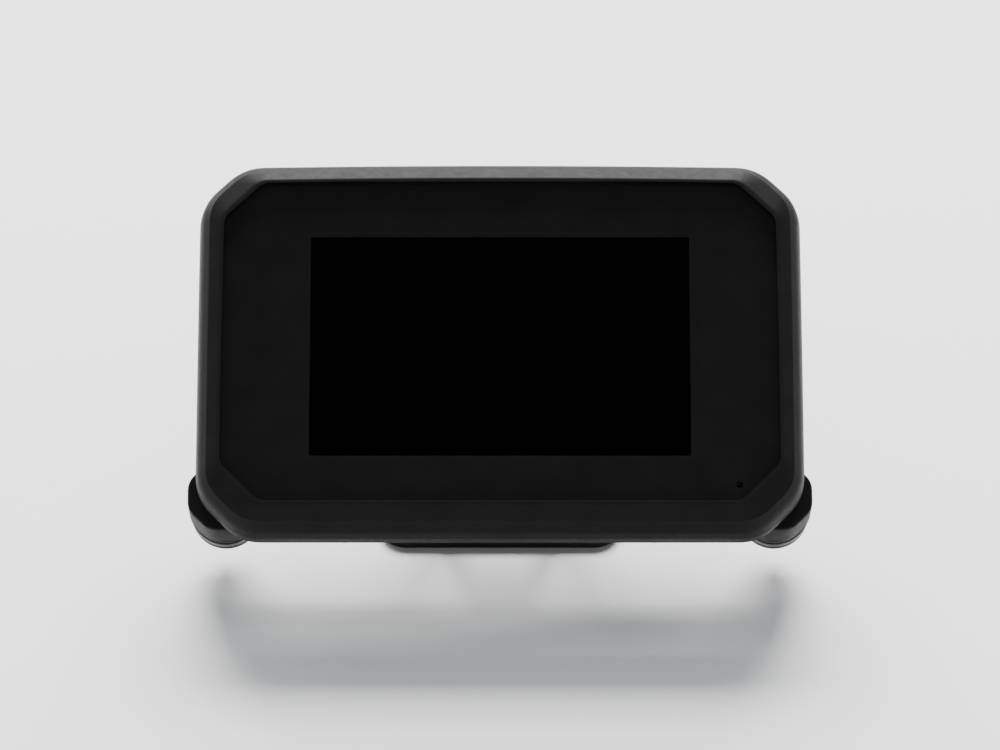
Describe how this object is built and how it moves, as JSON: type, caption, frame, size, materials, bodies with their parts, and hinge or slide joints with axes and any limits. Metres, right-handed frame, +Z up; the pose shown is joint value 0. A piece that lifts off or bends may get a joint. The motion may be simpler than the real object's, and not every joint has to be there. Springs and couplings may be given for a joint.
{
  "type": "instrument cluster",
  "caption": "Flat colour display cluster for a motorcycle: a dark lens in a cut-cornered bezel, a sealed rear housing, and a steel stay that carries it on rubber mounts.",
  "frame": {"origin": "on the underside of the stay's foot, halfway between its bolt holes", "axes": "+Z up, square to the foot; +X to the rider's right; -Y towards the rider; the screen leans back 52 degrees from upright"},
  "size_m": [0.1784, 0.1039, 0.1027],
  "materials": {
    "casing": "fine-grained moulded nylon, near black",
    "lens": "smoked cover with an anti-glare coat and a black printed border",
    "clear": "clear optical resin",
    "panel": "unlit liquid-crystal panel, black",
    "film": "white optical film",
    "rubber": "black moulded rubber",
    "board": "green solder mask on glass-fibre board",
    "chip": "moulded epoxy, black",
    "ceramic": "pale heat-proof moulding",
    "ribbon": "amber polyimide film",
    "brass": "turned or stamped, bright",
    "zinc": "zinc-plated steel",
    "tray_steel": "bright rolled sheet",
    "stay_steel": "steel plate, satin black powder coat",
    "carrier": "grey-black moulded frame",
    "pad": "soft grey heat-conducting pad",
    "membrane": "white porous film"
  },
  "bodies": {
    "stay": {"mounting_stay": "stay_steel", "grommet_left": "rubber", "grommet_right": "rubber", "grommet_top": "rubber"},
    "cluster": {"backlight_strip": "ceramic", "backlight_tray": "tray_steel", "board_screw_lower_left": "zinc", "board_screw_lower_right": "zinc", "board_screw_upper_left": "zinc", "board_screw_upper_right": "zinc", "breather_cap": "rubber", "breather_membrane": "membrane", "bus_transceiver": "chip", "capacitor_1": "zinc", "capacitor_2": "zinc", "clock_crystal": "zinc", "collar_left": "zinc", "collar_right": "zinc", "collar_top": "zinc", "connector_header": "casing", "connector_pins": "brass", "connector_seal": "rubber", "cover_lens": "lens", "diffuser_sheet": "film", "display_carrier": "carrier", "flash_memory": "chip", "front_bezel": "casing", "housing_screw_left": "zinc", "housing_screw_lower_left": "zinc", "housing_screw_lower_right": "zinc", "housing_screw_right": "zinc", "housing_screw_upper_left": "zinc", "housing_screw_upper_right": "zinc", "housing_seal": "rubber", "indicator_led_1": "ceramic", "indicator_led_2": "ceramic", "indicator_led_3": "ceramic", "indicator_led_4": "ceramic", "indicator_led_5": "ceramic", "indicator_led_6": "ceramic", "lcd_panel": "panel", "lcd_ribbon": "ribbon", "lens_seal": "rubber", "light_guide": "clear", "light_sensor": "chip", "main_board": "board", "mount_bolt_left": "zinc", "mount_bolt_right": "zinc", "mount_bolt_top": "zinc", "optical_bond": "clear", "power_inductor": "chip", "processor": "chip", "rear_housing": "casing", "reflector_sheet": "film", "ribbon_connector": "ceramic", "sensor_light_pipe": "clear", "thermal_pad": "pad", "threaded_insert_left": "brass", "threaded_insert_right": "brass", "threaded_insert_top": "brass"}
  },
  "joints": [
    {"name": "cluster_float", "type": "slide", "parent": "stay", "child": "cluster", "axis": [0, -0.6157, 0.788], "range_m": [-0.0006, 0.0006], "stiffness_N_per_m": 20000, "springref_m": 0.0002, "deforming": ["grommet_left", "grommet_right", "grommet_top"]}
  ]
}
